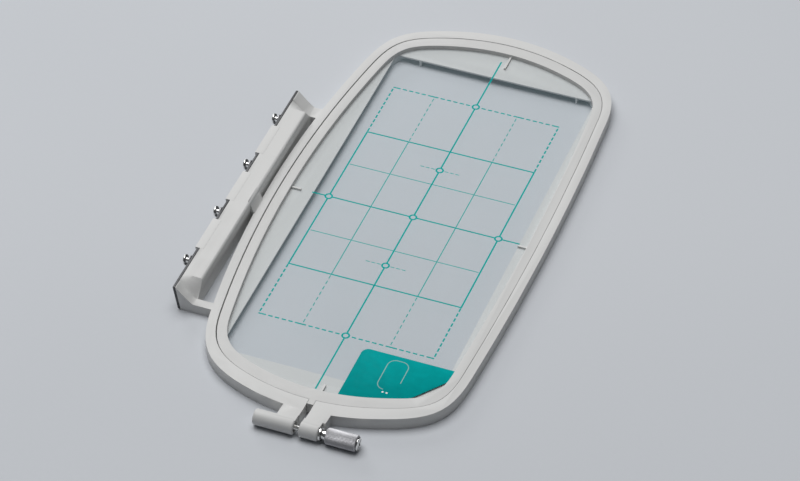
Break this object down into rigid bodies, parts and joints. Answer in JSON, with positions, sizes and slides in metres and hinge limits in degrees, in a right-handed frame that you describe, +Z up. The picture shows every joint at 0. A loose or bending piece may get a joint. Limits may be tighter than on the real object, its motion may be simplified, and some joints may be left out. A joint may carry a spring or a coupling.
{
  "type": "embroidery hoop set",
  "caption": "Oblong embroidery hoop: split outer frame with studded side bracket and clamp screw, inner frame and clear marking sheet.",
  "frame": {"origin": "middle of the set's box, on the plane it lies on", "axes": "+Z up out of the hoop, +Y along the hoop away from the clamp, +X away from the bracket"},
  "size_m": [0.2686, 0.5164, 0.0234],
  "materials": {
    "frame_plastic": "fine moulded grain, warm light grey",
    "clear_sheet": "clear glossy plastic sheet",
    "teal_print": "screen-printed teal ink",
    "strip_steel": "cold-rolled steel strip",
    "bright_metal": "bright nickel plate",
    "knob_metal": "knurled, satin",
    "insert_brass": "machined"
  },
  "bodies": {
    "outer_hoop": {"outer_frame": "frame_plastic", "mounting_strip": "strip_steel", "stud_1": "bright_metal", "stud_2": "bright_metal", "stud_3": "bright_metal", "stud_4": "bright_metal", "stud_collar_1": "bright_metal", "stud_collar_2": "bright_metal", "stud_collar_3": "bright_metal", "stud_collar_4": "bright_metal", "threaded_insert": "insert_brass"},
    "inner_hoop": {"inner_frame": "frame_plastic"},
    "sheet": {"marking_sheet": "clear_sheet", "printed_field": "teal_print", "printed_patch": "teal_print"},
    "washer": {"clamp_washer": "bright_metal"},
    "screw": {"clamp_spacer": "bright_metal", "clamp_shank": "bright_metal", "clamp_knob": "knob_metal", "knob_cap": "bright_metal"}
  },
  "joints": [
    {"name": "inner_lift", "type": "slide", "parent": "outer_hoop", "child": "inner_hoop", "axis": [0, 0, 1], "range_m": [0, 0.04]},
    {"name": "sheet_lift", "type": "slide", "parent": "inner_hoop", "child": "sheet", "axis": [0, 0, 1], "range_m": [0, 0.03]},
    {"name": "screw_travel", "type": "slide", "parent": "outer_hoop", "child": "washer", "axis": [1, 0, 0], "range_m": [0, 0.0033]},
    {"name": "screw_turn", "type": "hinge", "parent": "washer", "child": "screw", "pos_m": [0.05657, -0.25153, 0.0068], "axis": [1, 0, 0], "range_deg": [0, 1440]}
  ],
  "couplings": [
    {"joint": "screw_travel", "follows": "screw_turn", "m_per_rad": 0.00012732}
  ]
}
